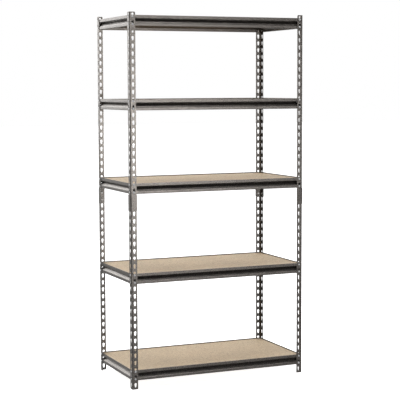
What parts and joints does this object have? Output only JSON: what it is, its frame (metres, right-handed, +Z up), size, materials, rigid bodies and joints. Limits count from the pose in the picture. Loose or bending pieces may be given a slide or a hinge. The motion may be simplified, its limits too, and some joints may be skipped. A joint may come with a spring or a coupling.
{
  "type": "boltless steel shelving",
  "caption": "Tall free-standing shelving unit: slotted steel angle posts, riveted folded-steel beams that hook into their keyholes, and loose particle-board decks.",
  "frame": {"origin": "on the floor under the middle of the unit", "axes": "+X across the width to the right as seen from the front, +Y from the front to the back, +Z up"},
  "size_m": [0.9348, 0.4846, 1.8288],
  "materials": {
    "post_paint": "grey metallic powder coat with a fine dark vein",
    "beam_paint": "grey metallic powder coat with a fine dark vein",
    "coupler_paint": "grey metallic powder coat with a fine dark vein",
    "zinc": "bright zinc-plated rivets",
    "deck_board": "raw particle board"
  },
  "bodies": {
    "frame": {"post_front_left_lower": "post_paint", "post_front_left_upper": "post_paint", "post_front_right_lower": "post_paint", "post_front_right_upper": "post_paint", "post_rear_left_lower": "post_paint", "post_rear_left_upper": "post_paint", "post_rear_right_lower": "post_paint", "post_rear_right_upper": "post_paint", "coupler_front_left": "coupler_paint", "coupler_front_right": "coupler_paint", "coupler_rear_left": "coupler_paint", "coupler_rear_right": "coupler_paint", "coupler_studs_front_left": "zinc", "coupler_studs_front_right": "zinc", "coupler_studs_rear_left": "zinc", "coupler_studs_rear_right": "zinc", "beam_1_front": "beam_paint", "beam_1_rear": "beam_paint", "beam_1_left": "beam_paint", "beam_1_right": "beam_paint", "beam_2_front": "beam_paint", "beam_2_rear": "beam_paint", "beam_2_left": "beam_paint", "beam_2_right": "beam_paint", "beam_3_front": "beam_paint", "beam_3_rear": "beam_paint", "beam_3_left": "beam_paint", "beam_3_right": "beam_paint", "beam_4_front": "beam_paint", "beam_4_rear": "beam_paint", "beam_4_left": "beam_paint", "beam_4_right": "beam_paint", "beam_5_front": "beam_paint", "beam_5_rear": "beam_paint", "beam_5_left": "beam_paint", "beam_5_right": "beam_paint", "rivets_1": "zinc", "rivets_2": "zinc", "rivets_3": "zinc", "rivets_4": "zinc", "rivets_5": "zinc"},
    "board_1": {"deck_1": "deck_board"},
    "board_2": {"deck_2": "deck_board"},
    "board_3": {"deck_3": "deck_board"},
    "board_4": {"deck_4": "deck_board"},
    "board_5": {"deck_5": "deck_board"}
  },
  "joints": [
    {"name": "board_1_lift", "type": "slide", "parent": "frame", "child": "board_1", "axis": [0, 0, 1], "range_m": [0, 0.422]},
    {"name": "board_2_lift", "type": "slide", "parent": "frame", "child": "board_2", "axis": [0, 0, 1], "range_m": [0, 0.385]},
    {"name": "board_3_lift", "type": "slide", "parent": "frame", "child": "board_3", "axis": [0, 0, 1], "range_m": [0, 0.349]},
    {"name": "board_4_lift", "type": "slide", "parent": "frame", "child": "board_4", "axis": [0, 0, 1], "range_m": [0, 0.349]},
    {"name": "board_5_lift", "type": "slide", "parent": "frame", "child": "board_5", "axis": [0, 0, 1], "range_m": [0, 0.15]}
  ]
}
